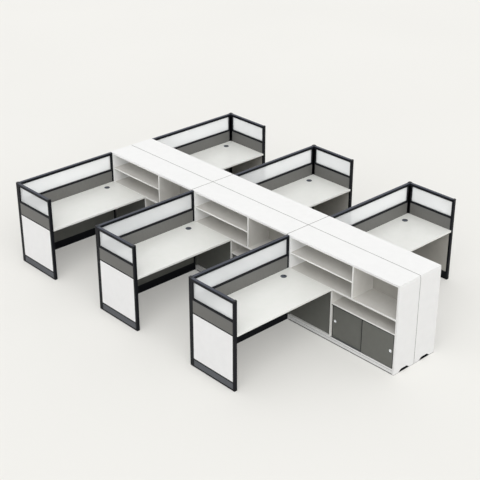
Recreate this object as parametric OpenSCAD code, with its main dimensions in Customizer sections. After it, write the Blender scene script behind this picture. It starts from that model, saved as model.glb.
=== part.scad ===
// Six office stations, three a side, back to back on a storage spine.
// Origin at the floor under the middle of the run, +Z up, the spine runs along Y, desks stand out along X.
// Each station is drawn once in its own frame: u goes outward from the middle of the spine,
// v from the station's near end to its far end, and z is the height over the floor.

/* [Run] */
// Length of one station along the spine
pitch = 1800; // [1720:1:2000]
// Reach of one station from the middle of the spine to the outer face of its end screen
reach = 1975; // [1600:1:2300]

/* [Storage units] */
// Height of a unit with its top board
cabinet_h = 1200; // [1150:1:1300]
// Depth of a unit from the middle of the spine to its front
cabinet_d = 375; // [340:1:450]
// Thickness of the top board
top_t = 28; // [18:1:40]
// Thickness of the side panels
side_t = 25; // [18:1:32]
// Thickness of the back panel
back_t = 8; // [4:1:12]
// Thickness of the fixed shelf that lies level with the desk
counter_t = 25; // [18:1:32]
// Thickness of the dividers
divider_t = 22; // [16:1:28]
// Thickness of the middle shelf, the shelf over the doors and the kick rail
shelf_t = 18; // [12:1:25]
// Thickness of the bottom board
floor_board_t = 25; // [18:1:32]
// Height of the bottom board's underside over the floor
floor_board_z = 52; // [40:1:80]
// Place of the upper divider's middle, from the unit's near end
upper_divider_v = 704; // [400:1:900]
// Gap between neighbouring top boards, and between the side panels of the two rows
seam = 5; // [1:0.5:8]
// Gap between the backs of the two rows
row_gap = 0.8; // [0.4:0.1:2]
// How far the kick rail stands back from the front
kick_setback = 2; // [1:1:40]
// Gap under the kick rail
kick_gap = 6; // [2:1:12]

/* [Side panel feet] */
// Length of the foot at the front of a side panel
front_foot = 74; // [50:1:90]
// Length of the foot at the back of a side panel
back_foot = 76; // [50:1:90]
// Height of the arched cut-out between the feet
arch_h = 38; // [20:1:40]
// Length of the swept shoulder on each side of the cut-out
shoulder_l = 74; // [70:1:80]
// Height of the step where a shoulder leaves its foot
toe_h = 2; // [1:0.5:6]

/* [Sliding doors] */
// Height of the shelf over the doors at its top face
door_head_z = 557; // [450:1:640]
// Thickness of a door
door_t = 16; // [12:1:19]
// How far the two closed doors lap over each other
door_lap = 20; // [5:1:40]
// Gap between a closed door and the panel beside it
door_end_gap = 1; // [0.5:0.5:4]
// Clearance between a door and the walls of its channel
door_side_gap = 0.6; // [0.4:0.1:2]
// Gap under a door, over the floor track
door_foot_gap = 0.5; // [0.4:0.1:2]
// Gap over a door, under the web of the head track
door_head_gap = 2; // [1:0.5:6]
// Wall thickness of the tracks
track_wall = 2; // [1.5:0.5:3]
// How far the tracks stand back from the unit's front
track_setback = 1.4; // [0.5:0.1:10]
// Height of the head track
head_track_h = 12; // [8:1:20]
// Height of the floor track
floor_track_h = 6; // [4:1:10]

/* [Door pulls] */
// Diameter of a pull's flange
pull_d = 42; // [30:1:60]
// Diameter of the recess in the pull
pull_bowl_d = 34; // [20:1:50]
// Depth of a pull's body in the door
pull_depth = 11; // [8:1:11]
// Thickness of a pull's flange and of its bowl
pull_wall = 1.2; // [0.8:0.1:2]
// Distance of a pull's middle from the door's outer edge
pull_edge = 48; // [35:1:120]

/* [Desks] */
// Height of the desk's top face
desk_z = 750; // [700:1:780]
// Depth of the desk from the long screen to its front edge
desk_d = 740; // [600:1:850]
// Thickness of the desk top
desk_t = 25; // [18:1:32]
// Gap between the desk and the storage unit
desk_gap = 2; // [0:0.5:6]
// Leg of the angle rails under the desk
rail_leg = 30; // [20:1:50]
// Wall thickness of the angle rails and the joint plates
steel_t = 3; // [2:0.5:5]
// Distance of the angle rails' ends from the desk's edges
rail_end_gap = 40; // [10:1:100]
// Length of a joint plate across the joint
plate_l = 120; // [60:1:160]
// Width of a joint plate
plate_w = 60; // [40:1:120]
// Distance of the joint plates from the panels beside them
plate_inset = 60; // [20:1:200]

/* [Cable grommets] */
// Diameter of the ring's flange
grommet_d = 80; // [70:1:100]
// Diameter of the hole in the desk
grommet_hole_d = 65; // [58:1:68]
// Height of the ring's flange over the desk
grommet_flange_t = 3; // [2:0.5:5]
// Height of the cap's seat over the desk
cap_seat_h = 1.2; // [0.8:0.1:1.4]
// Wall thickness of the ring's sleeve and of the cap's rim
grommet_wall = 2; // [1.5:0.5:3]
// Clearance between the cap and the ring
grommet_gap = 0.4; // [0.3:0.1:1]
// Width of the cable slot in the cap
slot_w = 20; // [10:1:26]
// Depth of the cap's rim below its disc
cap_rim_h = 12; // [6:1:20]
// Distance of the grommet from the desk's end
grommet_end = 210; // [90:1:400]
// Distance of the grommet from the long screen
grommet_rear = 122; // [80:1:250]

/* [Screens] */
// How far the top of the screens lies below the top of the storage units
screen_drop = 5; // [2:1:60]
// Thickness of the screens and side of the corner post
screen_t = 44; // [28:1:50]
// Width of the stiles
stile_w = 30; // [25:1:50]
// Height of the top rail
top_rail_h = 37; // [24:1:60]
// Height of the mid rail's underside
mid_rail_z = 916; // [850:1:1000]
// Height of the mid rail
mid_rail_h = 22; // [18:1:40]
// Height of the belt's lower edge
belt_z = 751; // [600:1:800]
// Height of the joint under the belt
belt_joint = 10; // [3:1:14]
// Height of the joint over the kick plate
kick_joint = 12; // [3:1:15]
// How far the fins in the joints stand back from the tiles' faces
joint_setback = 1.5; // [0.5:0.5:3]
// Height of the kick plate's top edge
kick_top_z = 108; // [80:1:160]
// Height of the kick plate's lower edge
kick_bottom_z = 24; // [15:1:40]
// Height of the glides
glide_h = 5; // [3:1:15]
// Diameter of the glides
glide_d = 24; // [16:1:28]
// Thickness of the glass
glass_t = 6; // [4:1:10]
// Depth of the glazing grooves
groove_d = 10; // [5:1:14]
// Clearance of the glass in its grooves, a side
glass_gap = 0.5; // [0.2:0.1:1]
// Thickness of the tiles
tile_t = 8; // [4:1:10]
// Thickness of the kick plates
kick_plate_t = 6; // [3:1:9]
// Height of the cross rails behind the joints
cross_rail_h = 24; // [16:1:40]
// Rounding of the top rail's upper edges
top_rail_r = 9; // [3:1:12]
// Rounding of the corner post's outer edge
post_r = 14; // [4:1:16]
// Rounding of the near end post's outer edges
end_post_r = 5; // [2:1:12]
// Height of the post caps
post_cap_h = 4; // [2:1:5]

/* [Hidden] */
$fn = 48;
stations = 3;
cut = 1;
rows = ["left", "right"];
lanes = ["near", "far"];

// Storage unit, in the station's frame
unit_u0 = row_gap / 2;
back_u1 = unit_u0 + back_t;
run_l = stations * pitch;
unit_end_v = pitch - screen_t;
inner_v0 = side_t;
inner_v1 = unit_end_v - side_t;
under_top_z = cabinet_h - top_t;
floor_top_z = floor_board_z + floor_board_t;
counter_z = desk_z - counter_t;
upper_shelf_z = (desk_z + under_top_z - shelf_t) / 2;
desk_front_v = unit_end_v - desk_d;
desk_under_z = desk_z - desk_t;

// Door bay and its two tracks, front channel for the near door and rear channel for the far door
bay_v0 = inner_v0;
bay_v1 = desk_front_v;
bay_w = bay_v1 - bay_v0;
head_z = door_head_z - shelf_t;
door_z0 = floor_top_z + track_wall + door_foot_gap;
door_z1 = head_z - track_wall - door_head_gap;
door_w = (bay_w + door_lap) / 2 - door_end_gap;
channel_w = door_t + 2 * door_side_gap;
track_d = 2 * channel_w + 3 * track_wall;
track_u1 = cabinet_d - track_setback;
track_u0 = track_u1 - track_d;
door_u0 = [
    track_u1 - track_wall - door_side_gap - door_t,
    track_u0 + track_wall + door_side_gap
];
door_v0 = [bay_v0 + door_end_gap, bay_v1 - door_end_gap - door_w];
pull_v = [door_v0[0] + pull_edge, door_v0[1] + door_w - pull_edge];
pull_z = (door_z0 + door_z1) / 2;
knee_panel_u1 = cabinet_d - side_t;

// Screens, in the station's frame
screen_h = cabinet_h - screen_drop;
screen_u0 = reach - screen_t;
screen_v0 = pitch - screen_t;
top_rail_z = screen_h - top_rail_h;
mid_top_z = mid_rail_z + mid_rail_h;
glass_z0 = mid_top_z - groove_d;
glass_in = groove_d - 2 * glass_gap;
glass_z1 = top_rail_z + glass_in;
core_t = screen_t - 2 * tile_t;
groove_w = glass_t + 2 * glass_gap;
panel_u0 = cabinet_d + stile_w;
panel_u1 = screen_u0 - stile_w;
panel_v0 = desk_front_v + stile_w;
panel_v1 = screen_v0 - stile_w;

// Desk and grommet
desk_u0 = cabinet_d + desk_gap;
grommet_v = unit_end_v - grommet_rear;
sleeve_r = grommet_hole_d / 2;
sleeve_bore_r = sleeve_r - grommet_wall;
seat_r = (grommet_d / 2 + sleeve_bore_r) / 2;
cap_rim_r = sleeve_bore_r - grommet_gap;
sleeve_h = desk_t - grommet_wall;

// Colours
frame_colour = "#24262c";
white_colour = "#f2f2ef";
belt_colour = "#74736f";
kick_colour = "#606264";
door_colour = "#64655f";
desk_colour = "#e9e9e6";
steel_colour = "#8d9093";
chrome_colour = "#d5d8dc";
cap_colour = "#3a4450";

// Puts a shape drawn in a station's own frame into the run: station 1 is the far one
module at_station(row, s) {
    mirror([row == "left" ? 1 : 0, 0, 0])
        translate([0, run_l / 2 - s * pitch, 0])
            children();
}

// Repeats a shape drawn in a station's own frame over all stations
module at_all_stations() {
    for (row = rows, s = [1:stations])
        at_station(row, s) children();
}

// Board between two corners given as [u, v, z]
module board(low, high) {
    translate(low) cube(high - low);
}

// Upright panel across the spine with an arched cut-out between its two feet, drawn from v = 0
module arched_panel(thickness) {
    translate([0, thickness, 0]) rotate([90, 0, 0]) linear_extrude(thickness)
        difference() {
            translate([seam / 2, 0]) square([cabinet_d - seam / 2, under_top_z]);
            translate([back_foot, 0]) arch_outline(cabinet_d - front_foot - back_foot);
        }
}

// Flat-topped arch with a swept shoulder on each side, open downwards
module arch_outline(width) {
    translate([shoulder_l, -cut]) square([width - 2 * shoulder_l, arch_h + cut]);
    for (side = [0, 1])
        translate([side * width, 0]) mirror([side, 0]) swept_shoulder();
}

// Open area under one shoulder: a short step up from the floor, then an S of two equal arcs
module swept_shoulder() {
    half_l = shoulder_l / 2;
    half_h = (arch_h - toe_h) / 2;
    r = (half_l * half_l + half_h * half_h) / (2 * half_h);
    difference() {
        translate([0, -cut]) square([half_l, toe_h + half_h + cut]);
        translate([0, toe_h + r]) circle(r);
    }
    intersection() {
        translate([half_l, -cut]) square([half_l, arch_h + cut]);
        translate([shoulder_l, arch_h - r]) circle(r);
    }
}

module cabinet_tops() {
    color(white_colour) at_all_stations()
        board(
            [seam / 2, seam / 2, under_top_z],
            [cabinet_d, pitch - seam / 2, cabinet_h]
        );
}

module cabinet_sides() {
    color(white_colour) at_all_stations()
        for (v = [0, inner_v1])
            translate([0, v, 0]) arched_panel(side_t);
}

module anchor_panels() {
    color(white_colour) at_all_stations()
        translate([0, unit_end_v, 0]) arched_panel(screen_t);
}

module cabinet_backs() {
    color(white_colour) at_all_stations()
        board([unit_u0, inner_v0, floor_top_z], [back_u1, inner_v1, under_top_z]);
}

module cabinet_floors() {
    color(white_colour) at_all_stations()
        board([unit_u0, inner_v0, floor_board_z], [cabinet_d, inner_v1, floor_top_z]);
}

module cabinet_kick_rails() {
    kick_u1 = cabinet_d - kick_setback;
    color(white_colour) at_all_stations()
        board([kick_u1 - shelf_t, inner_v0, kick_gap], [kick_u1, inner_v1, floor_board_z]);
}

module counter_shelves() {
    color(white_colour) at_all_stations()
        board([back_u1, inner_v0, counter_z], [cabinet_d, inner_v1, desk_z]);
}

module upper_dividers() {
    color(white_colour) at_all_stations()
        board(
            [back_u1, upper_divider_v - divider_t / 2, desk_z],
            [cabinet_d, upper_divider_v + divider_t / 2, under_top_z]
        );
}

module upper_shelves() {
    color(white_colour) at_all_stations()
        board(
            [back_u1, upper_divider_v + divider_t / 2, upper_shelf_z],
            [cabinet_d, inner_v1, upper_shelf_z + shelf_t]
        );
}

module lower_dividers() {
    color(white_colour) at_all_stations()
        board([back_u1, bay_v1, floor_top_z], [cabinet_d, bay_v1 + divider_t, counter_z]);
}

module door_head_shelves() {
    color(white_colour) at_all_stations()
        board([back_u1, bay_v0, head_z], [cabinet_d, bay_v1, door_head_z]);
}

module knee_panels() {
    color(belt_colour) at_all_stations()
        board(
            [knee_panel_u1 - shelf_t, bay_v1 + divider_t, floor_top_z],
            [knee_panel_u1, inner_v1, counter_z - steel_t]
        );
}

// Track with a web and three lips that form two channels, the web at the bottom
module track(height) {
    cube([track_d, bay_w, track_wall]);
    for (i = [0:2])
        translate([i * (channel_w + track_wall), 0, 0]) cube([track_wall, bay_w, height]);
}

module head_tracks() {
    color(chrome_colour) at_all_stations()
        translate([track_u0, bay_v0, head_z]) mirror([0, 0, 1]) track(head_track_h);
}

module floor_tracks() {
    color(chrome_colour) at_all_stations()
        translate([track_u0, bay_v0, floor_top_z]) track(floor_track_h);
}

// Door with the blind bore of its pull, lane 0 is the near door in the front channel
module sliding_door(row, s, lane) {
    color(door_colour) at_station(row, s)
        difference() {
            translate([door_u0[lane], door_v0[lane], door_z0])
                cube([door_t, door_w, door_z1 - door_z0]);
            at_pull(lane) cylinder(h = pull_depth + cut, d = pull_bowl_d + 2 * pull_wall);
        }
}

// Frame of a pull: z goes out of the door's face, zero at the bottom of its bore
module at_pull(lane) {
    translate([door_u0[lane] + door_t - pull_depth, pull_v[lane], pull_z])
        rotate([0, 90, 0]) children();
}

// Round bowl with a thin flange that lies on the door's face
module door_pull(row, s, lane) {
    color(chrome_colour) at_station(row, s) at_pull(lane)
        difference() {
            union() {
                cylinder(h = pull_depth, d = pull_bowl_d + 2 * pull_wall);
                translate([0, 0, pull_depth]) cylinder(h = pull_wall, d = pull_d);
            }
            translate([0, 0, pull_wall]) cylinder(h = pull_depth + cut, d = pull_bowl_d);
        }
}

// Middle of a grommet at floor level: always at the end that points along +X, and x points there
module at_grommet(row, s) {
    grommet_u = row == "left" ? desk_u0 + grommet_end : screen_u0 - grommet_end;
    at_station(row, s) translate([grommet_u, grommet_v, 0])
        rotate([0, 0, row == "left" ? 180 : 0]) children();
}

module desk_tops() {
    color(desk_colour) for (row = rows, s = [1:stations])
        difference() {
            at_station(row, s)
                board([desk_u0, desk_front_v, desk_under_z], [screen_u0, unit_end_v, desk_z]);
            at_grommet(row, s) translate([0, 0, desk_under_z - cut])
                cylinder(h = desk_t + 2 * cut, r = sleeve_r);
        }
}

// Section of a steel angle, its corner at the origin, one leg down and one to the left
module angle_section() {
    translate([-rail_leg, -steel_t]) square([rail_leg, steel_t]);
    translate([-steel_t, -rail_leg]) square([steel_t, rail_leg]);
}

// Carries a section along u: its x becomes v and its y becomes z
module along_u(u0, u1) {
    translate([u0, 0, 0]) rotate([90, 0, 90]) linear_extrude(u1 - u0) children();
}

// Carries a section along v: its x becomes u and its y becomes z
module along_v(v0, v1) {
    translate([0, v1, 0]) rotate([90, 0, 0]) linear_extrude(v1 - v0) children();
}

module desk_support_rails() {
    color(steel_colour) at_all_stations() {
        along_u(desk_u0 + rail_end_gap, screen_u0 - rail_end_gap)
            translate([unit_end_v, desk_under_z]) angle_section();
        along_v(desk_front_v + rail_end_gap, unit_end_v - rail_end_gap)
            translate([screen_u0, desk_under_z]) angle_section();
    }
}

module desk_joint_plates() {
    plate_v = [bay_v1 + divider_t + plate_inset, inner_v1 - plate_inset - plate_w];
    color(steel_colour) at_all_stations()
        for (v = plate_v)
            board(
                [cabinet_d - plate_l / 2, v, desk_under_z - steel_t],
                [cabinet_d + plate_l / 2, v + plate_w, desk_under_z]
            );
}

// Sleeve with a flange on the desk and a stepped seat for the cap
module grommet_rings() {
    color(cap_colour) for (row = rows, s = [1:stations])
        at_grommet(row, s) translate([0, 0, desk_z])
            rotate_extrude() difference() {
                union() {
                    translate([sleeve_bore_r, -sleeve_h]) square([grommet_wall, sleeve_h]);
                    translate([sleeve_bore_r, 0])
                        square([grommet_d / 2 - sleeve_bore_r, grommet_flange_t]);
                }
                translate([sleeve_bore_r - cut, cap_seat_h])
                    square([seat_r - sleeve_bore_r + cut, grommet_flange_t]);
            }
}

// Turning cap: a disc with a rim below it and a cable slot from beside the middle to the edge
module grommet_cap(row, s) {
    disc_z = cap_seat_h + grommet_gap;
    color(cap_colour) at_grommet(row, s) translate([0, 0, desk_z])
        difference() {
            rotate_extrude() {
                translate([0, disc_z]) square([seat_r - grommet_gap, grommet_flange_t - disc_z]);
                translate([cap_rim_r - grommet_wall, disc_z - cap_rim_h])
                    square([grommet_wall, cap_rim_h]);
            }
            translate([slot_w, 0, -cap_rim_h - cut]) {
                cylinder(h = 2 * cap_rim_h, d = slot_w);
                translate([0, -slot_w / 2, 0]) cube([grommet_d / 2, slot_w, 2 * cap_rim_h]);
            }
        }
}

// Cuts the rounding of an outer corner: the corner lies at (r, r)
module corner_rounding(r) {
    difference() {
        square(r + cut);
        circle(r);
    }
}

// Square post whose outer edge is rounded, in plan
module corner_post_plan() {
    difference() {
        translate([screen_u0, screen_v0]) square(screen_t);
        translate([reach - post_r, pitch - post_r]) corner_rounding(post_r);
    }
}

// Post at the end screen's near end with two rounded edges and the glazing groove, in plan
module end_post_plan(groove = true) {
    difference() {
        translate([screen_u0, desk_front_v]) square([screen_t, stile_w]);
        translate([reach - end_post_r, desk_front_v + end_post_r])
            mirror([0, 1]) corner_rounding(end_post_r);
        translate([screen_u0 + end_post_r, desk_front_v + end_post_r])
            mirror([1, 0]) mirror([0, 1]) corner_rounding(end_post_r);
        if (groove)
            translate([reach - screen_t / 2 - groove_w / 2, panel_v0 - groove_d])
                square([groove_w, groove_d + cut]);
    }
}

module screen_posts() {
    color(frame_colour) at_all_stations()
        translate([0, 0, glide_h]) linear_extrude(screen_h - glide_h) {
            corner_post_plan();
            end_post_plan();
        }
}

module post_caps() {
    color(frame_colour) at_all_stations()
        translate([0, 0, screen_h]) linear_extrude(post_cap_h) {
            corner_post_plan();
            end_post_plan(groove = false);
        }
}

// Stile in plan, its back at x = 0 and its grooved side at x = stile_w, centred on y = 0
module stile_plan() {
    difference() {
        translate([0, -screen_t / 2]) square([stile_w, screen_t]);
        translate([stile_w - groove_d, -groove_w / 2]) square([groove_d + cut, groove_w]);
    }
}

module screen_stiles() {
    long_v = screen_v0 + screen_t / 2;
    end_u = screen_u0 + screen_t / 2;
    color(frame_colour) at_all_stations()
        translate([0, 0, glide_h]) linear_extrude(top_rail_z - glide_h) {
            translate([cabinet_d, long_v]) stile_plan();
            translate([screen_u0, long_v]) mirror([1, 0]) stile_plan();
            translate([end_u, screen_v0]) rotate(-90) stile_plan();
        }
}

// Runs a section along the long screen and the end screen, between the given stops
module along_screens(u0, u1, v0, v1) {
    along_u(u0, u1) translate([screen_v0, 0]) children();
    along_v(v0, v1) translate([screen_u0, 0]) children();
}

// Top rail: two rounded upper edges and the glazing groove below
module top_rail_section() {
    difference() {
        square([screen_t, top_rail_h]);
        translate([screen_t - top_rail_r, top_rail_h - top_rail_r]) corner_rounding(top_rail_r);
        translate([top_rail_r, top_rail_h - top_rail_r])
            mirror([1, 0]) corner_rounding(top_rail_r);
        translate([(screen_t - groove_w) / 2, -cut]) square([groove_w, groove_d + cut]);
    }
}

module top_rails() {
    color(frame_colour) at_all_stations()
        translate([0, 0, top_rail_z])
            along_screens(cabinet_d, screen_u0, panel_v0, screen_v0) top_rail_section();
}

// Mid rail: the glass stands in its groove
module mid_rail_section() {
    difference() {
        square([screen_t, mid_rail_h]);
        translate([(screen_t - groove_w) / 2, mid_rail_h - groove_d])
            square([groove_w, groove_d + cut]);
    }
}

module mid_rails() {
    color(frame_colour) at_all_stations()
        translate([0, 0, mid_rail_z])
            along_screens(panel_u0, panel_u1, panel_v0, panel_v1) mid_rail_section();
}

// Cross rail in the screens' core that the tiles hang on, with a fin that fills the joint
module cross_rail_section(joint_z, joint_h) {
    translate([tile_t, joint_z + (joint_h - cross_rail_h) / 2]) square([core_t, cross_rail_h]);
    translate([joint_setback, joint_z]) square([screen_t - 2 * joint_setback, joint_h]);
}

module cross_rails() {
    color(frame_colour) at_all_stations()
        along_screens(panel_u0, panel_u1, panel_v0, panel_v1) {
            cross_rail_section(belt_z - belt_joint, belt_joint);
            cross_rail_section(kick_top_z, kick_joint);
        }
}

module bottom_rails() {
    color(frame_colour) at_all_stations()
        along_screens(panel_u0, panel_u1, panel_v0, panel_v1)
            translate([0, glide_h]) square([screen_t, kick_bottom_z - glide_h]);
}

module glass_panes() {
    color("#dfe6e6", 0.5) at_all_stations()
        along_screens(
            panel_u0 - glass_in, panel_u1 + glass_in, panel_v0 - glass_in, panel_v1 + glass_in
        )
            translate([(screen_t - glass_t) / 2, glass_z0]) square([glass_t, glass_z1 - glass_z0]);
}

module belt_tiles() {
    color(belt_colour) at_all_stations()
        along_screens(panel_u0, panel_u1, panel_v0, panel_v1)
            for (x = [0, core_t + tile_t])
                translate([x, belt_z]) square([tile_t, mid_rail_z - belt_z]);
}

module lower_tiles() {
    tile_z0 = kick_top_z + kick_joint;
    tile_z1 = belt_z - belt_joint;
    color(white_colour) at_all_stations()
        along_screens(panel_u0, panel_u1, panel_v0, panel_v1)
            for (x = [0, core_t + tile_t])
                translate([x, tile_z0]) square([tile_t, tile_z1 - tile_z0]);
}

module kick_plates() {
    color(kick_colour) at_all_stations()
        along_screens(panel_u0, panel_u1, panel_v0, panel_v1)
            for (x = [tile_t - kick_plate_t, tile_t + core_t])
                translate([x, kick_bottom_z]) square([kick_plate_t, kick_top_z - kick_bottom_z]);
}

// Glides under the posts, the stile at the spine and the middle of the long screen
module screen_glides() {
    long_v = screen_v0 + screen_t / 2;
    end_u = screen_u0 + screen_t / 2;
    glide_places = [
        [cabinet_d + stile_w / 2, long_v],
        [(panel_u0 + panel_u1) / 2, long_v],
        [end_u, long_v],
        [end_u, desk_front_v + stile_w / 2]
    ];
    color(frame_colour) at_all_stations()
        for (place = glide_places)
            translate(place) cylinder(h = glide_h, d = glide_d);
}

cabinet_tops();
cabinet_sides();
anchor_panels();
cabinet_backs();
cabinet_floors();
cabinet_kick_rails();
counter_shelves();
upper_dividers();
upper_shelves();
lower_dividers();
door_head_shelves();
knee_panels();
head_tracks();
floor_tracks();
desk_tops();
desk_support_rails();
desk_joint_plates();
grommet_rings();
screen_posts();
post_caps();
screen_stiles();
top_rails();
mid_rails();
cross_rails();
bottom_rails();
glass_panes();
belt_tiles();
lower_tiles();
kick_plates();
screen_glides();
for (row = rows, s = [1:stations], lane = [0, 1])
    sliding_door(row, s, lane);
for (row = rows, s = [1:stations], lane = [0, 1])
    door_pull(row, s, lane);
for (row = rows, s = [1:stations])
    grommet_cap(row, s);
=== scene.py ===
"""Six office stations on a storage spine: finishes, fittings, light and camera round the model.

Lengths are metres. X runs along the desks, Y along the spine, and Z is the height over the floor.
"""

import math

import bmesh
import bpy
import numpy as np
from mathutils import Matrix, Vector


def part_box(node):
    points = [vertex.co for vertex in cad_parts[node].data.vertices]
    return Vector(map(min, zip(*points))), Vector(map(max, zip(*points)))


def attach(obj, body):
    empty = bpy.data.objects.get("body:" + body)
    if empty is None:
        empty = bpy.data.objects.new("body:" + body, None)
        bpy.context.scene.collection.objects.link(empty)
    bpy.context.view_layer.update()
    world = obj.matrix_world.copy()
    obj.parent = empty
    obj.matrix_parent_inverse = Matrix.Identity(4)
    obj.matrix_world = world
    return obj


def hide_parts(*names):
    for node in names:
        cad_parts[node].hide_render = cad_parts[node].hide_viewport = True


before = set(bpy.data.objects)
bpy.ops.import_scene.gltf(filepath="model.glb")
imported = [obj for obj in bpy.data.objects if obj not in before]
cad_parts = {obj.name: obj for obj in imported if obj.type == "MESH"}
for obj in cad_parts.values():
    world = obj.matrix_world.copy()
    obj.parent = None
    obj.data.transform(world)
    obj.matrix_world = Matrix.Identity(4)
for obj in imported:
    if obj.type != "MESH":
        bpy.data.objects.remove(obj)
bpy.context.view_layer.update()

MM = 0.001
STRUCTURE = "structure"
ROWS = ("left", "right")
STATIONS = (1, 2, 3)
LANES = ("near", "far")

# The camera looks down on the run from its near left corner
VIEW_AZIMUTH = -42.78
VIEW_ELEVATION = 26.995
VIEW_DISTANCE = 15.218
VIEW_AIM = Vector((0.0, 0.3577, 0.515))
VIEW_FOCAL_PX = 1125.85
PICTURE_PX = 480
SENSOR_MM = 36.0

# Half the floor's width, the size of its faint clouds, its colours as seen and as they throw light
# back, and the colour and share of the light that is its own
FLOOR_HALF = 60.0
FLOOR_CLOUD = 4.0
FLOOR_DARK = "#e2e1dd"
FLOOR_LIGHT = "#e4e3df"
FLOOR_BOUNCE = "#908e8a"
FLOOR_GLOW_COLOUR = "#f2f1ed"
FLOOR_GLOW = 0.28

# The sky's strength at the horizon and overhead, and the lamp's, with its width in degrees
SKY_LOW = 0.94
SKY_HIGH = 0.76
BACKDROP = "#f0efeb"
KEY_STRENGTH = 2.02
KEY_WIDTH = 80
KEY_FROM = Vector((-0.5, -0.66, 0.56))

# Sizes taken from the frame
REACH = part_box("screen_posts")[1].x
RUN_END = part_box("cabinet_sides")[0].y
FAR_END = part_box("screen_posts")[1].y
TOP_LOW, TOP_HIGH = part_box("cabinet_tops")
SEAM = 2 * (TOP_LOW.y - RUN_END)
PITCH = (TOP_HIGH.y - TOP_LOW.y + SEAM) / len(STATIONS)
SCREEN_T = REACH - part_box("desk_tops")[1].x

# How far edges stand back from a seam, and how round the boards' edge bands are
SEAM_EASE = 3 * MM
BAND = 1.0 * MM

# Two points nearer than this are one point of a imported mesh, two faces nearer than LEVEL in
# direction are one face, and an edge that turns by more than SHARP is rounded
WELD = 0.01 * MM
LEVEL = math.radians(1)
SHARP = math.radians(35)


def linear(hex_colour):
    """sRGB hex text to linear RGBA: below 0.04045 a straight line, above it a power of 2.4."""
    channels = [int(hex_colour[i : i + 2], 16) / 255 for i in (1, 3, 5)]
    curve = [c / 12.92 if c <= 0.04045 else ((c + 0.055) / 1.055) ** 2.4 for c in channels]
    return (*curve, 1.0)


def add_node(tree, kind, inputs=None, **settings):
    """Adds one shader node, sets its properties and fills its inputs with values or sockets."""
    made = tree.nodes.new(kind)
    for name, value in settings.items():
        setattr(made, name, value)
    for name, value in (inputs or {}).items():
        if isinstance(value, bpy.types.NodeSocket):
            tree.links.new(value, made.inputs[name])
        else:
            made.inputs[name].default_value = value
    return made


def new_material(name):
    """Empty material with its Principled shader: (material, tree, shader)."""
    material = bpy.data.materials.new(name)
    material.use_nodes = True
    tree = material.node_tree
    return material, tree, tree.nodes["Principled BSDF"]


def object_noise(tree, size, detail=2.0, stretch=(1.0, 1.0, 1.0)):
    """Noise on object coordinates, its blotches about size metres across, drawn out by stretch."""
    place = add_node(tree, "ShaderNodeTexCoord")
    scaled = add_node(
        tree,
        "ShaderNodeMapping",
        {"Vector": place.outputs["Object"], "Scale": [1 / (size * s) for s in stretch]},
    )
    noise = add_node(
        tree,
        "ShaderNodeTexNoise",
        {"Vector": scaled.outputs["Vector"], "Scale": 1.0, "Detail": detail},
    )
    return noise.outputs["Fac"]


def object_place(tree, axis):
    """One of the object coordinates, 'X', 'Y' or 'Z'."""
    place = add_node(tree, "ShaderNodeTexCoord")
    parted = add_node(tree, "ShaderNodeSeparateXYZ", {"Vector": place.outputs["Object"]})
    return parted.outputs[axis]


def worked_out(tree, operation, *values):
    """Result of one arithmetic step on values or sockets."""
    inputs = dict(enumerate(values))
    return add_node(tree, "ShaderNodeMath", inputs, operation=operation).outputs[0]


def ramp(tree, value, start, end, low, high):
    """Maps start to end evenly onto low to high, and stays at low or high beyond them."""
    ends = {"From Min": start, "From Max": end, "To Min": low, "To Max": high}
    return add_node(tree, "ShaderNodeMapRange", {"Value": value, **ends}).outputs["Result"]


def spread(tree, noise, low, high):
    """Maps 0.3 to 0.7 of a noise, where most of it lies, onto low to high."""
    return ramp(tree, noise, 0.3, 0.7, low, high)


def mixed(tree, factor, first, second):
    """Blends from the first colour to the second by a factor, each a hex text or a socket."""
    colours = [c if isinstance(c, bpy.types.NodeSocket) else linear(c) for c in (first, second)]
    inputs = {"Factor": factor, "A": colours[0], "B": colours[1]}
    return add_node(tree, "ShaderNodeMix", inputs, data_type="RGBA").outputs["Result"]


def two_tone(tree, noise, dark, light):
    """Mixes two hex colours by a noise."""
    return mixed(tree, spread(tree, noise, 0.0, 1.0), dark, light)


def figured(tree, shader, noise, tones, gloss):
    """Lets one noise vary the colour between two tones and the roughness between two values."""
    tree.links.new(two_tone(tree, noise, *tones), shader.inputs["Base Color"])
    tree.links.new(spread(tree, noise, *gloss), shader.inputs["Roughness"])


def grained(tree, shader, noise, strength, depth):
    """Raises the surface by a noise, through a bump of a given strength and depth in metres."""
    heights = {"Height": noise, "Strength": strength, "Distance": depth}
    bump = add_node(tree, "ShaderNodeBump", heights)
    tree.links.new(bump.outputs["Normal"], shader.inputs["Normal"])


def covered(material, mask, colour):
    """Lays another colour over a material's own where a mask, made in its tree, is 1."""
    tree = material.node_tree
    base = tree.nodes["Principled BSDF"].inputs["Base Color"]
    own = base.links[0].from_socket
    tree.links.new(mixed(tree, mask(tree), own, colour), base)
    return material


def pressed_laminate(name, tones, gloss, pebble=1.2 * MM, depth=0.03 * MM):
    """Melamine board: printed paper pressed with a fine pebble, shining softly and unevenly."""
    material, tree, shader = new_material(name)
    figured(tree, shader, object_noise(tree, 90 * MM, detail=3.0), tones, gloss)
    grained(tree, shader, object_noise(tree, pebble, detail=1.0), 0.35, depth)
    shader.inputs["IOR"].default_value = 1.5
    return material


def white_melamine(name="white_melamine"):
    """Bright white board of the storage units, matt with a faint sheen."""
    return pressed_laminate(name, ("#e5e5e4", "#e8e8e7"), (0.42, 0.52))


def floor_shadow_melamine():
    """The white board of the upright panels, with a painted contact shadow in black on its lowest 4
    mm.
    """
    return covered(
        white_melamine("white_melamine_painted_floor_shadow"),
        lambda tree: worked_out(tree, "LESS_THAN", object_place(tree, "Z"), 4 * MM),
        "#17181a",
    )


def back_shade_melamine():
    """Warm grey on the storage units' backs, painted shade for their white board deep in the
    recesses.
    """
    return pressed_laminate("back_painted_shade_grey", ("#9e9c96", "#a5a39d"), (0.45, 0.55))


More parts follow.
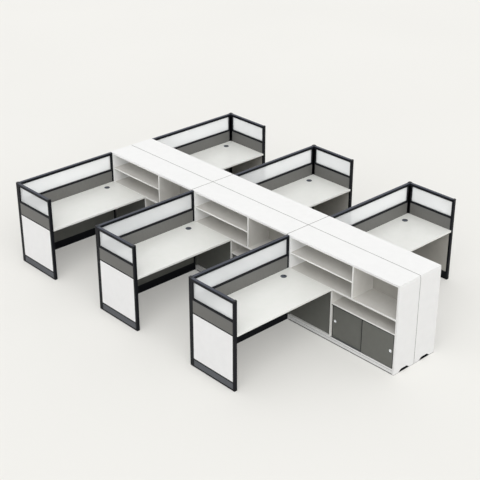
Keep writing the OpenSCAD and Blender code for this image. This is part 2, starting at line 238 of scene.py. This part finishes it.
def desk_melamine():
    """The desk's grey-white board, lacquered smoother than the units', so the screens darken it."""
    material = pressed_laminate(
        "desk_melamine", ("#e4e5e0", "#e7e7e3"), (0.3, 0.34), pebble=1.6 * MM
    )
    material.node_tree.nodes["Principled BSDF"].inputs["Specular IOR Level"].default_value = 0.9
    return material


def front_edge(tree):
    """1 where the distance from the spine's middle plane is over the units' depth less 1.2 mm."""
    across = worked_out(tree, "ABSOLUTE", object_place(tree, "X"))
    return worked_out(tree, "GREATER_THAN", across, TOP_HIGH.x - 1.2 * MM)


def shelf_shade_melamine():
    """White board of shelves and dividers, painted warm grey as the shade inside the recesses, with
    its own white band on its edge at the front.
    """
    board = pressed_laminate(
        "shelf_painted_shade_grey", ("#cac8c3", "#d0cec9"), (0.45, 0.55)
    )
    return covered(board, front_edge, "#e7e7e4")


def grey_melamine():
    """Warm mid-grey board of the sliding doors and the knee panels."""
    return pressed_laminate("grey_melamine", ("#62635e", "#686964"), (0.4, 0.52))


def belt_laminate():
    """Grey laminate of the screens' belt, printed with upright brushing 6 mm wide."""
    material, tree, shader = new_material("belt_laminate")
    brushing = object_noise(tree, 6 * MM, detail=3.0, stretch=(1.0, 1.0, 12.0))
    figured(tree, shader, brushing, ("#61615e", "#6b6a67"), (0.42, 0.55))
    grained(tree, shader, object_noise(tree, 1.2 * MM, detail=1.0), 0.3, 0.03 * MM)
    return material


def white_tile():
    """Satin white screen tile, smoother than the board of the units."""
    return pressed_laminate(
        "satin_white_tile", ("#efefef", "#f2f2f2"), (0.32, 0.4), depth=0.02 * MM
    )


def knee_side_shade_tile():
    """Warm light grey on the end screens' tiles that face the knee space, painted shade for white
    tiles under the desk.
    """
    return pressed_laminate("warm_grey_tile", ("#bbb8b1", "#c1beb7"), (0.4, 0.5), depth=0.02 * MM)


def powder_coat(name, tones, gloss):
    """Powder coat on metal: a baked skin with orange peel a millimetre across and a satin shine."""
    material, tree, shader = new_material(name)
    figured(tree, shader, object_noise(tree, 120 * MM), tones, gloss)
    grained(tree, shader, object_noise(tree, 1.0 * MM, detail=1.0), 0.25, 0.04 * MM)
    shader.inputs["Specular IOR Level"].default_value = 0.14
    return material


def frame_coat(name="blue_black_powder_coat"):
    """Blue-black satin coat of the screens' aluminium frame."""
    return powder_coat(name, ("#0c0e13", "#0f1116"), (0.42, 0.5))


def facing_up(tree):
    """0 where the normal's Z is below 0.35, 1 where it is over 0.85, and even between them."""
    surface = add_node(tree, "ShaderNodeNewGeometry")
    rise = add_node(tree, "ShaderNodeSeparateXYZ", {"Vector": surface.outputs["Normal"]})
    return ramp(tree, rise.outputs["Z"], 0.35, 0.85, 0.0, 1.0)


def frame_coat_painted_sheen():
    """The frame's coat on posts and top rails, painted paler where it faces up, as a sheen of the
    sky above.
    """
    return covered(frame_coat("blue_black_powder_coat_painted_sheen"), facing_up, "#474a53")


def kick_coat():
    """Mid-grey coat of the pressed kick plates."""
    return powder_coat("grey_powder_coat", ("#595b5f", "#5e6064"), (0.38, 0.46))


def steel_coat():
    """Dark grey coat of the angle rails and plates under the desks."""
    return powder_coat("dark_powder_coat", ("#3d3f42", "#434548"), (0.4, 0.5))


def moulded_plastic(name, grain_size, tones, gloss, strength, depth):
    """Moulded plastic with a spark-eroded grain, whose hollows are the darker tone."""
    material, tree, shader = new_material(name)
    grain = object_noise(tree, grain_size)
    figured(tree, shader, grain, tones, gloss)
    grained(tree, shader, grain, strength, depth)
    return material


def moulded_nylon():
    """Black moulded nylon of caps, glides and bristles, matt."""
    return moulded_plastic(
        "black_moulded_nylon", 0.8 * MM, ("#0e1013", "#14161a"), (0.45, 0.55), 0.4, 0.05 * MM
    )


def moulded_abs():
    """Blue-grey moulded ABS of the cable grommets."""
    return moulded_plastic(
        "blue_grey_abs", 0.7 * MM, ("#444952", "#4f545d"), (0.38, 0.48), 0.35, 0.04 * MM
    )


def bare_metal(name, noise_size, tones, gloss, **marks):
    """Bare or plated metal whose marks vary its colour and its roughness."""
    material, tree, shader = new_material(name)
    figured(tree, shader, object_noise(tree, noise_size, **marks), tones, gloss)
    shader.inputs["Metallic"].default_value = 1.0
    return material


def satin_chrome():
    """Satin chrome of the door pulls, with fine upright polishing marks."""
    return bare_metal(
        "satin_chrome",
        1.5 * MM,
        ("#dcdee0", "#e8eaec"),
        (0.2, 0.3),
        detail=3.0,
        stretch=(1.0, 1.0, 6.0),
    )


def anodised_aluminium():
    """Natural anodised extrusion of the door tracks, with die lines 1.5 mm apart along it."""
    return bare_metal(
        "anodised_aluminium",
        1.5 * MM,
        ("#a9abad", "#babcbe"),
        (0.32, 0.42),
        stretch=(1.0, 200.0, 1.0),
    )


def zinc_plate():
    """Zinc-plated steel of the screws, with a faint cloudy bloom."""
    return bare_metal("zinc_plated_steel", 2 * MM, ("#8d9196", "#a3a7ab"), (0.3, 0.45))


def frosted_glass():
    """Lightly etched pane, its tooth 1 mm across, that scatters light but shows what is near it."""
    material, tree, shader = new_material("frosted_glass")
    figured(tree, shader, object_noise(tree, 250 * MM), ("#f5f7f8", "#f8fafb"), (0.42, 0.5))
    grained(tree, shader, object_noise(tree, 1.0 * MM), 0.2, 0.03 * MM)
    shader.inputs["Transmission Weight"].default_value = 0.1
    shader.inputs["Alpha"].default_value = 0.55
    shader.inputs["IOR"].default_value = 1.5
    return material


def black_rubber():
    """Black rubber of beads, seals and edge trims, matt with a dusty bloom."""
    material, tree, shader = new_material("black_glazing_rubber")
    bloom = object_noise(tree, 4 * MM, detail=3.0)
    figured(tree, shader, bloom, ("#121315", "#1b1c1e"), (0.6, 0.75))
    return material


def grey_felt():
    """Pressed grey felt of the spacers in the seams, with matted fibres about 3 mm long."""
    material, tree, shader = new_material("grey_spacer_felt")
    fibre = object_noise(tree, 3 * MM, detail=4.0)
    tree.links.new(two_tone(tree, fibre, "#80807d", "#8e8e8b"), shader.inputs["Base Color"])
    grained(tree, shader, fibre, 0.6, 0.2 * MM)
    shader.inputs["Roughness"].default_value = 0.95
    return material


WHITE = white_melamine()
FLOOR_SHADOW_WHITE = floor_shadow_melamine()
BACK = back_shade_melamine()
SHELF = shelf_shade_melamine()
DESK = desk_melamine()
GREY = grey_melamine()
BELT = belt_laminate()
TILE = white_tile()
KNEE_SIDE_SHADE_TILE = knee_side_shade_tile()
FRAME = frame_coat()
SHEEN_FRAME = frame_coat_painted_sheen()
KICK = kick_coat()
STEEL = steel_coat()
NYLON = moulded_nylon()
ABS = moulded_abs()
CHROME = satin_chrome()
TRACK = anodised_aluminium()
GLASS = frosted_glass()
RUBBER = black_rubber()
FELT = grey_felt()
ZINC = zinc_plate()


def welded(node):
    """A node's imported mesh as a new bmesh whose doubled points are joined."""
    shape = bmesh.new()
    shape.from_mesh(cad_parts[node].data)
    bmesh.ops.remove_doubles(shape, verts=shape.verts, dist=WELD)
    return shape


def packed_solids(node):
    """Low and high corner of each separate solid of a node, as two arrays, found on its mesh."""
    shape = welded(node)
    waiting = set(shape.verts)
    corners = []
    while waiting:
        front = [waiting.pop()]
        island = []
        while front:
            vertex = front.pop()
            island.append(vertex.co.copy())
            near = {edge.other_vert(vertex) for edge in vertex.link_edges} & waiting
            waiting -= near
            front.extend(near)
        points = np.array(island)
        corners.append((points.min(0), points.max(0)))
    shape.free()
    tenth_of_mm = 4
    corners.sort(key=lambda box: tuple(np.round(box[0], tenth_of_mm)))
    return corners


def soft_board(low, high, radius):
    """Closed box with rounded edges, as (points, quads).

    A direction runs over the unit sphere, latitude by longitude, and each quarter turn has its own
    block of steps. A point is the inner box's corner of that block plus radius times the direction.
    The radius stays just under half the thinnest side.
    """
    block = 3
    quarter = np.linspace(0, math.pi / 2, block)
    latitude = np.concatenate([quarter - math.pi / 2, quarter])
    longitude = np.concatenate([quarter + i * math.pi / 2 for i in range(4)])
    side_x = np.repeat([1, -1, -1, 1], block)
    side_y = np.repeat([1, 1, -1, -1], block)
    side_z = np.repeat([-1, 1], block)
    centre = (low + high) / 2
    half = (high - low) / 2
    just_under = 0.999
    radius = min(radius, *(half * just_under))
    inner = half - radius
    x = side_x * inner[0] + radius * np.outer(np.cos(latitude), np.cos(longitude))
    y = side_y * inner[1] + radius * np.outer(np.cos(latitude), np.sin(longitude))
    z = (side_z * inner[2] + radius * np.sin(latitude))[:, None] + 0 * x
    points = np.stack([x, y, z], axis=-1).reshape(-1, 3) + centre
    rows, columns = len(latitude), len(longitude)
    ring = np.arange(0, columns, block)
    ends = np.array([ring[::-1], ring + (rows - 1) * columns])
    return points, np.concatenate([rolled_grid(rows, columns), ends])


def rolled_grid(rows, columns):
    """Quads between neighbouring rows of points, each row closed to a ring."""
    i, j = np.meshgrid(np.arange(rows - 1), np.arange(columns), indexing="ij")
    after = (j + 1) % columns
    return np.stack(
        [i * columns + j, i * columns + after, (i + 1) * columns + after, (i + 1) * columns + j],
        axis=-1,
    ).reshape(-1, 4)


def soft_box(xs, ys, zs, radius):
    """Rounded board between two values on each axis, in either order."""
    low, high = np.sort([xs, ys, zs], axis=1).T
    return soft_board(low, high, radius)


def joined(parts):
    """Stacks (points, faces) pairs into one, each part's face numbers moved past those before."""
    points, faces, start = [], [], 0
    for part_points, part_faces in parts:
        points.append(part_points)
        faces.extend((np.asarray(part_faces) + start).tolist())
        start += len(part_points)
    return np.concatenate(points), faces


def placed(name, mesh, material, body, nodes):
    """Puts a mesh into the scene as a piece on a body, in place of the given nodes."""
    piece = bpy.data.objects.new(name, mesh)
    bpy.context.scene.collection.objects.link(piece)
    mesh.materials.append(material)
    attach(piece, body)
    if nodes:
        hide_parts(*nodes)
    return piece


def make_piece(name, parts, material, body=STRUCTURE, nodes=(), smooth_below=0.0):
    """Puts (points, faces) parts into one mesh object on a body.

    Faces smaller than smooth_below square metres are shaded smooth, and the rest stay flat.
    """
    points, faces = joined(parts)
    mesh = bpy.data.meshes.new(name)
    mesh.from_pydata(points.tolist(), [], faces)
    shaped = bmesh.new()
    shaped.from_mesh(mesh)
    bmesh.ops.remove_doubles(shaped, verts=shaped.verts, dist=WELD)
    bmesh.ops.recalc_face_normals(shaped, faces=shaped.faces)
    for face in shaped.faces:
        face.smooth = face.calc_area() < smooth_below
    shaped.to_mesh(mesh)
    shaped.free()
    placed(name, mesh, material, body, nodes)


def dress_boards(node, material, radius, chosen=None, word="banded", trim=(0.0, 0.0)):
    """Stands boards with rounded edges in for the chosen plain boards of a node, or for all.

    The trim is what the boards lose at their lower and at their upper edge.
    """
    parts = [
        soft_board(low + np.array([0, 0, trim[0]]), high - np.array([0, 0, trim[1]]), radius)
        for low, high in packed_solids(node)
        if chosen is None or chosen(low, high)
    ]
    make_piece(f"{node}_{word}", parts, material, nodes=(node,))


def revolved(profile, centre, axis, steps=48):
    """Turns a profile of (radius, height) points once round an axis, x or z, as (points, quads).

    A point at angle t is radius times (cos t, sin t) beside the axis and height along it.
    """
    profile = np.asarray(profile)
    turn = np.linspace(0, 2 * math.pi, steps, endpoint=False)
    side = np.outer(profile[:, 0], np.cos(turn))
    rise = np.outer(profile[:, 0], np.sin(turn))
    along = np.repeat(profile[:, 1][:, None], steps, axis=1)
    order = (along, side, rise) if axis == "x" else (side, rise, along)
    points = np.stack(order, axis=-1).reshape(-1, 3) + np.asarray(centre)
    return points, rolled_grid(len(profile), steps)


def arc(centre, radius, start, end):
    """Five points of an arc in a profile, from one angle to the other in degrees."""
    return [
        (centre[0] + radius * math.cos(t), centre[1] + radius * math.sin(t))
        for t in np.radians(np.linspace(start, end, 5))
    ]


def pan_head(place, out):
    """Pan-head screw: a low dome 9 mm across with a round driving recess.

    It stands on a level face and points up or down, as out is 1 or -1.
    """
    recess = [(0.0, 0.9), (1.5, 0.9), (1.9, 2.1)]
    dome = [(2.6, 2.3), (3.6, 2.0), (4.3, 1.2), (4.5, 0.3), (4.5, 0.0), (0.0, 0.0)]
    return revolved([(r * MM, out * z * MM) for r, z in recess + dome], place, "z", steps=20)


def softened(node, material, radius, body=STRUCTURE, segments=2, reshape=None):
    """Stands a copy of a node's welded mesh in for it, with its sharp edges rounded by a bevel.

    Where reshape is given, it moves each point first.
    """
    shape = welded(node)
    bmesh.ops.dissolve_limit(shape, angle_limit=LEVEL, verts=shape.verts, edges=shape.edges)
    if reshape:
        for vertex in shape.verts:
            reshape(vertex.co)
    for face in shape.faces:
        face.smooth = True
    mesh = bpy.data.meshes.new(node + "_softened")
    shape.to_mesh(mesh)
    shape.free()
    piece = placed(node + "_softened", mesh, material, body, (node,))
    bevel = piece.modifiers.new("edges", "BEVEL")
    bevel.width = radius
    bevel.segments = segments
    bevel.limit_method = "ANGLE"
    bevel.angle_limit = SHARP
    level = piece.modifiers.new("level_faces", "WEIGHTED_NORMAL")
    level.mode = "FACE_AREA"
    level.weight = 100


def paint(node, material):
    """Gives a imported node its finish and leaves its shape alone."""
    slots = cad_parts[node].data.materials
    slots.clear()
    slots.append(material)


def storage_units():
    """Boards of the spine with rounded edge bands, its arched panels, its fittings and the black
    and grey pieces that paint shade in its gaps and hollows.
    """
    for node in ("cabinet_floors", "cabinet_kick_rails"):
        dress_boards(node, WHITE, BAND)
    for node in (
        "counter_shelves",
        "upper_dividers",
        "upper_shelves",
        "lower_dividers",
        "door_head_shelves",
    ):
        # Shelves and dividers take painted shade: warm grey, with a white front edge
        dress_boards(node, SHELF, BAND)
    top_boards()
    # The backs' warm grey is painted shade in the recesses
    dress_boards("cabinet_backs", BACK, BAND)
    dress_boards("knee_panels", GREY, BAND)
    for node in ("cabinet_sides", "anchor_panels"):
        # The upright panels' white board carries a painted black contact shadow along the floor
        softened(node, FLOOR_SHADOW_WHITE, BAND, reshape=eased_at_seam)
    for node in ("head_tracks", "floor_tracks"):
        paint(node, TRACK)
    seam_spacers()
    kick_shade_lips_and_joint_strips()
    arch_shade_boards()
    track_shade_brushes()
    knee_shade_covers()


def eased_at_seam(point):
    """Moves the upright edges beside the seam of the two rows back from it."""
    if abs(point.x) < SEAM:
        point.x += math.copysign(SEAM_EASE, point.x)


def outward(low, high):
    """X of the face that looks away from the spine's middle plane, and its way, 1 or -1."""
    return (high[0], 1) if high[0] > 0 else (low[0], -1)


def top_boards():
    """Top boards with edge bands, whose edges along the seams stand back from them."""
    parts = []
    for low, high in packed_solids("cabinet_tops"):
        if low[0] > 0:
            low[0] += SEAM_EASE
        else:
            high[0] -= SEAM_EASE
        if low[1] - TOP_LOW.y > SEAM:
            low[1] += SEAM_EASE
        if TOP_HIGH.y - high[1] > SEAM:
            high[1] -= SEAM_EASE
        parts.append(soft_board(low, high, BAND))
    make_piece("cabinet_tops_banded", parts, WHITE, nodes=("cabinet_tops",))


def kick_shade_lips_and_joint_strips():
    """Black rubber lips on the kick rails that close the gap over the floor as painted shade in it,
    and black strips at the joint along their top edge.
    """
    bedded, inset = 1 * MM, 1 * MM
    parts = []
    for low, high in packed_solids("cabinet_kick_rails"):
        front, out = outward(low, high)
        along = (low[1] + inset, high[1] - inset)
        lip = ((1 * MM, 10 * MM), 1.6 * MM)
        strip = ((high[2] - 3 * MM, high[2] + 1 * MM), 0.6 * MM)
        for heights, proud in (lip, strip):
            across = (front - out * bedded, front + out * proud)
            parts.append(soft_box(across, along, heights, 0.4 * MM))
    make_piece("kick_shade_lips_and_joint_strips", parts, RUBBER)


def arch_shade_boards():
    """Black boards behind the end panels' arches and black sills on the floor in them, painted
    shade for the hollow under the panels.

    A board stands 2 mm behind its panel. A sill lies in the arch, 0.5 mm inside the panel's face.
    """
    gap, board_t, board_top = 2 * MM, 8 * MM, 54 * MM
    set_back, sill_top, foot = 0.5 * MM, 1.7 * MM, 0.3 * MM
    thickest_panel = 80 * MM
    arch = (77 * MM, TOP_HIGH.x - 75 * MM)
    parts = []
    for low, high in packed_solids("cabinet_kick_rails"):
        out = outward(low, high)[1]
        plinth = (SEAM + gap, min(abs(low[0]), abs(high[0])) - gap)
        for inner, end in ((low[1], RUN_END), (high[1], FAR_END)):
            if abs(end - inner) > thickest_panel:
                continue
            away = math.copysign(1, inner - end)
            rear = inner + away * gap
            for across, start, stop, top in (
                (plinth, rear, inner + away * (gap + board_t), board_top),
                (arch, end + away * set_back, rear, sill_top),
            ):
                xs = [out * x for x in across]
                parts.append(soft_box(xs, (start, stop), (foot, top), 0.5 * MM))
    make_piece("arch_shade_boards", parts, FRAME)


def track_shade_brushes():
    """Dust brushes clipped on the front lips of the door tracks, black so that they also paint the
    shadow lines at the doors' head and foot.
    """
    proud, inset, height_inset = 0.9 * MM, 1 * MM, 0.2 * MM
    parts = []
    for node in ("head_tracks", "floor_tracks"):
        for low, high in packed_solids(node):
            front, out = outward(low, high)
            parts.append(
                soft_box(
                    (front, front + out * proud),
                    (low[1] + inset, high[1] - inset),
                    (low[2] + height_inset, high[2] - height_inset),
                    0.3 * MM,
                )
            )
    make_piece("track_shade_brushes", parts, NYLON)


def knee_shade_covers():
    """Grey covers, 1 mm thick, round the panel edge between each knee panel and its screen, painted
    shade over the white edge under the desk.
    """
    skin, reach = 1 * MM, 24.5 * MM
    edge = TOP_HIGH.x
    parts = []
    for low, high in packed_solids("knee_panels"):
        face, out = outward(low, high)
        far = high[1]
        heights = (low[2] + 1 * MM, high[2] - 1 * MM)
        for inside, stop in ((abs(face), far), (edge, far + reach)):
            across = (out * inside, out * (edge + skin))
            parts.append(soft_box(across, (far - skin, stop), heights, 0.3 * MM))
    make_piece("knee_shade_covers", parts, GREY)


def seam_spacers():
    """Felt spacers in the top boards' seams and, at the near end, between the rows' panels."""
    half = SEAM / 2 + SEAM_EASE
    inset = 4 * MM
    heights = (TOP_LOW.z + 1 * MM, TOP_HIGH.z - 1.5 * MM)
    strips = [((-half, half), (TOP_LOW.y + inset, TOP_HIGH.y - inset), heights)]
    for across in ((TOP_LOW.x + inset, -half), (half, TOP_HIGH.x - inset)):
        for i in (1, 2):
            y = FAR_END - i * PITCH
            strips.append((across, (y - half, y + half), heights))
    upright_foot, upright_back = 60 * MM, 20 * MM
    upright = (upright_foot, TOP_LOW.z - 1 * MM)
    strips.append(((-half, half), (RUN_END + inset, RUN_END + upright_back), upright))
    parts = [soft_box(*strip, 0.3 * MM) for strip in strips]
    make_piece("seam_spacers", parts, FELT)


def edge_shade_trims(door):
    """Black trims pushed on the door's upright edges, which stay clear of both tracks; 12 mm wide,
    they paint the shadow line along the door's edges.
    """
    low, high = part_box(door)
    proud, width = 0.3 * MM, 12 * MM
    heights = (low.z + 6 * MM, high.z - 11 * MM)
    parts = [
        soft_box((low.x - proud, high.x + proud), (y - proud, y + width + proud), heights, 0.8 * MM)
        for y in (low.y, high.y - width)
    ]
    make_piece(door + "_edge_shade_trims", parts, RUBBER, door)


def turned_pull(node, body, out):
    """Pressed pull turned from its section: a rolled lip, a rounded mouth and a dished bowl."""
    low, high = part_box(node)
    lip_r = (high.z - low.z) / 2
    depth = high.x - low.x
    wall, fillet, mouth, ease = 1.2 * MM, 3 * MM, 0.8 * MM, 0.6 * MM
    tube_r = lip_r - 2.8 * MM
    bowl_r = tube_r - wall
    profile = [(0.0, -depth), (tube_r - ease, -depth), (tube_r, ease - depth), (tube_r, -wall)]
    profile += arc((lip_r - wall / 2, -wall / 2), wall / 2, -90, 90)
    profile += arc((bowl_r + mouth, -mouth), mouth, 90, 180)
    profile += arc((bowl_r - fillet, wall + fillet - depth), fillet, 0, -90)
    profile += [(bowl_r / 2, wall - 0.2 * MM - depth), (0.0, wall - 0.3 * MM - depth)]
    face = high.x if out > 0 else low.x
    part = revolved(
        [(r, out * x) for r, x in profile], (face, (low.y + high.y) / 2, (low.z + high.z) / 2), "x"
    )
    make_piece(node + "_turned", [part], CHROME, body, (node,), smooth_below=1.0)


def sliding_doors():
    """Doors with rounded edge bands, their black trims of painted shade and their satin pulls."""
    for row in ROWS:
        for station in STATIONS:
            for lane in LANES:
                body = f"{row}_{station}_{lane}_door"
                softened(body, GREY, BAND, body)
                edge_shade_trims(body)
                turned_pull(f"{row}_{station}_{lane}_pull", body, -1 if row == "left" else 1)


def desks():
    """Desk tops with 2 mm rounded bands, their grommets and the steel under them."""
    softened("desk_tops", DESK, 2.0 * MM, segments=3)
    softened("grommet_rings", ABS, 0.4 * MM)
    for node in ("desk_support_rails", "desk_joint_plates"):
        softened(node, STEEL, 0.5 * MM)
    for row in ROWS:
        for station in STATIONS:
            cap = f"{row}_{station}_grommet_cap"
            softened(cap, ABS, 0.4 * MM, cap)
            cable_brush(cap)
    underside_screws()


def cable_brush(cap):
    """Tufts across a cap's cable slot, which keep dust out and turn inside the sleeve's bore."""
    low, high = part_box(cap)
    middle_y = (low.y + high.y) / 2
    middle_x = low.x + (high.y - low.y) / 2
    slot_start, slot_end, spacing = 13 * MM, 28 * MM, 1.6 * MM
    half_tuft, half_width = 0.65 * MM, 9 * MM
    tufts = [
        soft_box(
            (x - half_tuft, x + half_tuft),
            (middle_y - half_width, middle_y + half_width),
            (high.z - 6 * MM, high.z - 0.8 * MM),
            0.3 * MM,
        )
        for x in np.arange(middle_x + slot_start, middle_x + slot_end, spacing)
    ]
    make_piece(cap + "_brush", tufts, NYLON, cap)


def underside_screws():
    """Pan-head screws that hold the joint plates and the angle rails up to the desk tops."""
    steel_t, flange_middle, rail_end = 3 * MM, 13 * MM, 60 * MM
    plate_end, plate_side = 15 * MM, 12 * MM
    parts = []
    for low, high in packed_solids("desk_joint_plates"):
        for x in (low[0] + plate_end, high[0] - plate_end):
            for y in (low[1] + plate_side, high[1] - plate_side):
                parts.append(pan_head((x, y, low[2]), -1))
    for low, high in packed_solids("desk_support_rails"):
        face = high[2] - steel_t
        if along_desk(low, high):
            y = low[1] + flange_middle
            for x in np.linspace(low[0] + rail_end, high[0] - rail_end, 5):
                parts.append(pan_head((x, y, face), -1))
        else:
            x = low[0] + flange_middle if low[0] > 0 else high[0] - flange_middle
            for y in np.linspace(low[1] + rail_end, high[1] - rail_end, 3):
                parts.append(pan_head((x, y, face), -1))
    make_piece("underside_screws", parts, ZINC, smooth_below=1.0)


def screens():
    """Frames, panes and tiles of the screens."""
    metal, tile, plate = 0.8 * MM, 0.8 * MM, 0.6 * MM
    for node in ("screen_posts", "top_rails"):
        # Posts and top rails carry a painted sheen on what faces up
        softened(node, SHEEN_FRAME, metal)
    for node in ("screen_stiles", "mid_rails", "bottom_rails"):
        softened(node, FRAME, metal)
    dress_boards("cross_rails", FRAME, metal)
    softened("post_caps", NYLON, 1.2 * MM)
    turned_glides()
    dress_boards("glass_panes", GLASS, 0.6 * MM)
    glazing_beads()
    lap = 4 * MM
    dress_boards("belt_tiles", BELT, tile, desk_side, "inner")
    dress_boards("belt_tiles", BELT, tile, outer_side, "outer", (lap, 0.0))
    dress_boards("lower_tiles", TILE, tile, outer_side, "white", (lap, lap))
    # Painted shade: the end screens' tiles by the knee space are warm grey
    dress_boards("lower_tiles", KNEE_SIDE_SHADE_TILE, tile, beside_desk, "knee_side_painted_shade")
    # Painted shade: the long screens' tiles under the desks, white like the others, take the doors'
    # grey board for the shade of the knee space
    dress_boards("lower_tiles", GREY, tile, under_desk, "grey")
    dress_boards("kick_plates", KICK, plate, outer_side, "grey")
    # Painted shade: the kick plates on the desk side take the frame's black in place of their own
    # grey, for the shade under the desks
    dress_boards("kick_plates", FRAME, plate, desk_side, "black")


def along_desk(low, high):
    """True for a piece that runs along X, such as all pieces of a long screen."""
    return high[0] - low[0] > high[1] - low[1]


def desk_side(low, high):
    """True for a tile or plate on the desk's side of its screen."""
    middle = (low + high) / 2
    if along_desk(low, high):
        return (FAR_END - middle[1]) % PITCH > SCREEN_T / 2
    return REACH - abs(middle[0]) > SCREEN_T / 2


def outer_side(low, high):
    """True for a tile or plate on the far side of its screen from the desk."""
    return not desk_side(low, high)


def under_desk(low, high):
    """True for the long screens' tiles that face the knee space."""
    return along_desk(low, high) and desk_side(low, high)


def beside_desk(low, high):
    """True for the end screens' tiles that face the knee space."""
    return not along_desk(low, high) and desk_side(low, high)


def turned_glides():
    """Turned glides: a foot with a rounded tread under a narrower neck."""
    tread, neck, neck_foot = 1.4 * MM, 2.5 * MM, 3.4 * MM
    parts = []
    for low, high in packed_solids("screen_glides"):
        radius, rise = (high[0] - low[0]) / 2, high[2] - low[2]
        profile = [(0.0, 0.0), (radius - 2 * MM, 0.0)]
        profile += arc((radius - tread, tread), tread, -90, 60)
        profile += [(radius - neck, neck_foot), (radius - neck, rise), (0.0, rise)]
        parts.append(revolved(profile, (*(low + high)[:2] / 2, low[2]), "z", steps=32))
    make_piece(
        "turned_glides", parts, NYLON, nodes=("screen_glides",), smooth_below=1.0
    )


def glazing_beads():
    """Rubber beads on both faces of every pane, 4 mm high round the sight edge."""
    held, bead = 9 * MM, 4 * MM
    parts = []
    for low, high in packed_solids("glass_panes"):
        thin = 1 if along_desk(low, high) else 0
        long = 1 - thin
        sight_low, sight_high = low + held, high - held
        for face, step in ((low[thin], -bead), (high[thin], bead)):
            for axis in (long, 2):
                for edge, inward in ((sight_low[axis], bead), (sight_high[axis], -bead)):
                    box_low, box_high = sight_low.copy(), sight_high.copy()
                    box_low[axis], box_high[axis] = sorted((edge, edge + inward))
                    box_low[thin], box_high[thin] = sorted((face, face + step))
                    parts.append(soft_board(box_low, box_high, 1.2 * MM))
    make_piece("glazing_beads", parts, RUBBER)


def open_floor(tree):
    """0 under the storage units, up to the glow from 20 mm inside their edges to 30 mm outside."""
    clear = []
    for axis, edge in (("X", TOP_HIGH.x), ("Y", TOP_HIGH.y)):
        away = worked_out(tree, "ABSOLUTE", object_place(tree, axis))
        clear.append(ramp(tree, away, edge - 20 * MM, edge + 30 * MM, 0.0, FLOOR_GLOW))
    return worked_out(tree, "MAXIMUM", *clear)


def seen_directly(tree):
    """1 for rays from the camera and for those that went through glass."""
    rays = add_node(tree, "ShaderNodeLightPath").outputs
    return worked_out(tree, "MAXIMUM", rays["Is Camera Ray"], rays["Is Transmission Ray"])


def pale_floor():
    """Wide pale studio floor in the backdrop's colour, which takes the shadows.

    Part of its paleness is its own for the camera, also through glass, as in a lit sweep, so that
    the shadows stay soft, but none of it under the storage units. It throws back less light than
    its paleness would, so the space under the desks stays deep.
    """
    half = FLOOR_HALF
    mesh = bpy.data.meshes.new("studio_floor")
    mesh.from_pydata(
        [(-half, -half, 0), (half, -half, 0), (half, half, 0), (-half, half, 0)],
        [],
        [(0, 1, 2, 3)],
    )
    material, tree, shader = new_material("pale_studio_floor")
    cloud = object_noise(tree, FLOOR_CLOUD, detail=1.0)
    paleness = two_tone(tree, cloud, FLOOR_DARK, FLOOR_LIGHT)
    thrown = add_node(tree, "ShaderNodeLightPath").outputs["Is Diffuse Ray"]
    tree.links.new(mixed(tree, thrown, paleness, FLOOR_BOUNCE), shader.inputs["Base Color"])
    shader.inputs["Roughness"].default_value = 0.9
    shader.inputs["Specular IOR Level"].default_value = 0.2
    glow = add_node(
        tree, "ShaderNodeEmission", {"Color": linear(FLOOR_GLOW_COLOUR), "Strength": 1.0}
    )
    shown = worked_out(tree, "MULTIPLY", seen_directly(tree), open_floor(tree))
    lit = add_node(
        tree, "ShaderNodeMixShader", {0: shown, 1: shader.outputs[0], 2: glow.outputs[0]}
    )
    tree.links.new(lit.outputs[0], tree.nodes["Material Output"].inputs["Surface"])
    mesh.materials.append(material)
    floor = bpy.data.objects.new("studio_floor", mesh)
    bpy.context.scene.collection.objects.link(floor)


def studio_light():
    """Wide soft lamp from the camera's side, under a sky that is a little dimmer overhead.

    The camera sees the backdrop's colour in place of the sky, also through glass.
    """
    world = bpy.data.worlds.new("studio_sky")
    world.use_nodes = True
    tree = world.node_tree
    tree.nodes.clear()
    way = add_node(tree, "ShaderNodeTexCoord")
    rise = add_node(tree, "ShaderNodeSeparateXYZ", {"Vector": way.outputs["Generated"]})
    level = ramp(tree, rise.outputs["Z"], 0.0, 1.0, SKY_LOW, SKY_HIGH)
    sky = add_node(
        tree, "ShaderNodeBackground", {"Color": linear("#ffffff"), "Strength": level}
    )
    backdrop = add_node(
        tree, "ShaderNodeBackground", {"Color": linear(BACKDROP), "Strength": 1.0}
    )
    shown = add_node(
        tree,
        "ShaderNodeMixShader",
        {0: seen_directly(tree), 1: sky.outputs[0], 2: backdrop.outputs[0]},
    )
    add_node(tree, "ShaderNodeOutputWorld", {"Surface": shown.outputs[0]})
    bpy.context.scene.world = world
    lamp = bpy.data.lights.new("soft_key", "SUN")
    lamp.energy = KEY_STRENGTH
    lamp.angle = math.radians(KEY_WIDTH)
    key = bpy.data.objects.new("soft_key", lamp)
    key.rotation_euler = KEY_FROM.to_track_quat("Z", "Y").to_euler()
    bpy.context.scene.collection.objects.link(key)


def photo_camera():
    """Camera on a sphere round its aim: right by the sine and near by the cosine of the azimuth."""
    turn = math.radians(VIEW_AZIMUTH)
    rise = math.radians(VIEW_ELEVATION)
    back = Vector(
        (math.sin(turn) * math.cos(rise), -math.cos(turn) * math.cos(rise), math.sin(rise))
    )
    lens = bpy.data.cameras.new("photo_camera")
    lens.sensor_width = SENSOR_MM
    lens.lens = VIEW_FOCAL_PX / PICTURE_PX * SENSOR_MM
    lens.clip_end = 200.0
    camera = bpy.data.objects.new("photo_camera", lens)
    camera.location = VIEW_AIM + back * VIEW_DISTANCE
    camera.rotation_euler = back.to_track_quat("Z", "Y").to_euler()
    bpy.context.scene.collection.objects.link(camera)
    bpy.context.scene.camera = camera


storage_units()
sliding_doors()
desks()
screens()
pale_floor()
studio_light()
photo_camera()
bpy.context.scene.view_settings.view_transform = "Standard"
